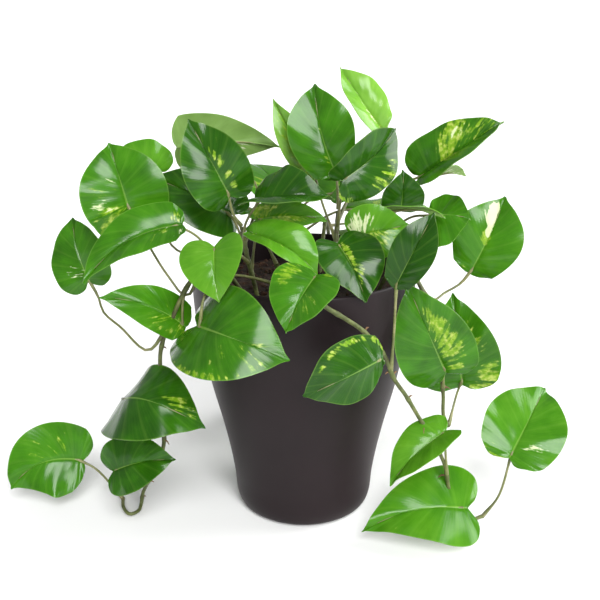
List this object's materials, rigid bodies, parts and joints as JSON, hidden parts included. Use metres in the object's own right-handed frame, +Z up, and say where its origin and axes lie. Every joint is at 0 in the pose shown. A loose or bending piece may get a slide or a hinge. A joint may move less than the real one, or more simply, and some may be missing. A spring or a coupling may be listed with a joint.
{
  "type": "potted pothos plant",
  "caption": "Golden pothos vine with heart-shaped variegated leaves and trailing stems, rooted in potting soil in a tall tapered plastic pot that stands on its flat base.",
  "frame": {"origin": "centre of the pot's flat underside, on the surface that the pot stands on", "axes": "+Z up along the pot's axis; -Y is the front of the plant, +X its right-hand side seen from the front"},
  "size_m": [0.4515, 0.3181, 0.3554],
  "materials": {
    "pot_plastic": "satin moulded polypropylene, very dark brown",
    "potting_soil": "loose moist peat and bark mix",
    "vine": "brown-green living stem with nodes",
    "leaf": "waxy green leaf with golden yellow variegation"
  },
  "bodies": {
    "root": {"back_runner": "vine", "back_runner_leaf_1": "leaf", "back_runner_leaf_2": "leaf", "back_runner_leaf_3": "leaf", "back_runner_leaf_4": "leaf", "back_runner_leaf_5": "leaf", "back_stem": "vine", "back_stem_leaf_1": "leaf", "back_stem_leaf_2": "leaf", "back_stem_leaf_3": "leaf", "back_stem_leaf_4": "leaf", "centre_stem": "vine", "centre_stem_leaf_1": "leaf", "centre_stem_leaf_2": "leaf", "centre_stem_leaf_3": "leaf", "centre_stem_leaf_4": "leaf", "centre_stem_leaf_5": "leaf", "front_runner": "vine", "front_runner_leaf_1": "leaf", "front_runner_leaf_2": "leaf", "front_runner_leaf_3": "leaf", "front_runner_leaf_4": "leaf", "front_runner_leaf_5": "leaf", "front_stem": "vine", "front_stem_leaf_1": "leaf", "front_stem_leaf_2": "leaf", "front_stem_leaf_3": "leaf", "left_runner": "vine", "left_runner_leaf_1": "leaf", "left_runner_leaf_2": "leaf", "left_runner_leaf_3": "leaf", "left_runner_leaf_4": "leaf", "left_runner_leaf_5": "leaf", "left_runner_leaf_6": "leaf", "left_runner_leaf_7": "leaf", "left_runner_leaf_8": "leaf", "left_stem": "vine", "left_stem_leaf_1": "leaf", "left_stem_leaf_2": "leaf", "left_stem_leaf_3": "leaf", "left_stem_leaf_4": "leaf", "left_stem_leaf_5": "leaf", "left_stem_leaf_6": "leaf", "pot": "pot_plastic", "potting_soil": "potting_soil", "right_runner": "vine", "right_runner_leaf_1": "leaf", "right_runner_leaf_2": "leaf", "right_runner_leaf_3": "leaf", "right_stem": "vine", "right_stem_leaf_1": "leaf", "right_stem_leaf_2": "leaf", "right_stem_leaf_3": "leaf", "right_stem_leaf_4": "leaf", "right_stem_leaf_5": "leaf", "right_stem_leaf_6": "leaf"}
  },
  "joints": []
}
